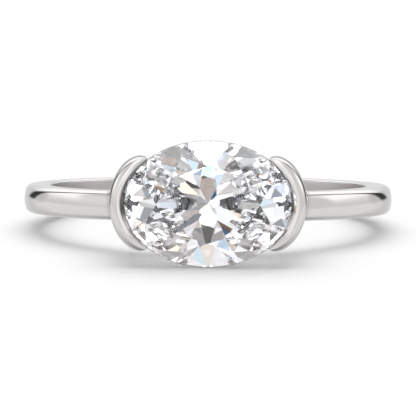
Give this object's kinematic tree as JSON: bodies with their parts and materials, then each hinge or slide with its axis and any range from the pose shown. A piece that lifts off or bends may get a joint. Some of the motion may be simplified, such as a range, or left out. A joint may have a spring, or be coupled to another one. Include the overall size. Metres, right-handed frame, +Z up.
{
  "type": "half bezel engagement ring",
  "caption": "Slim polished metal ring with an oval faceted stone set lengthwise across it between two crescent half bezels, lying on its side.",
  "frame": {"origin": "on the surface that the ring lies on, under the middle of its bounding box", "axes": "+Z up, -Y the way the stone faces, X along the stone's length; the finger's axis leans 5.5 degrees from +Z towards +Y"},
  "size_m": [0.0196, 0.0238, 0.0065],
  "materials": {
    "polished_metal": "mirror polished white gold",
    "clear_stone": "polished facets"
  },
  "bodies": {
    "root": {"band_with_half_bezels": "polished_metal", "oval_stone": "clear_stone"}
  },
  "joints": []
}
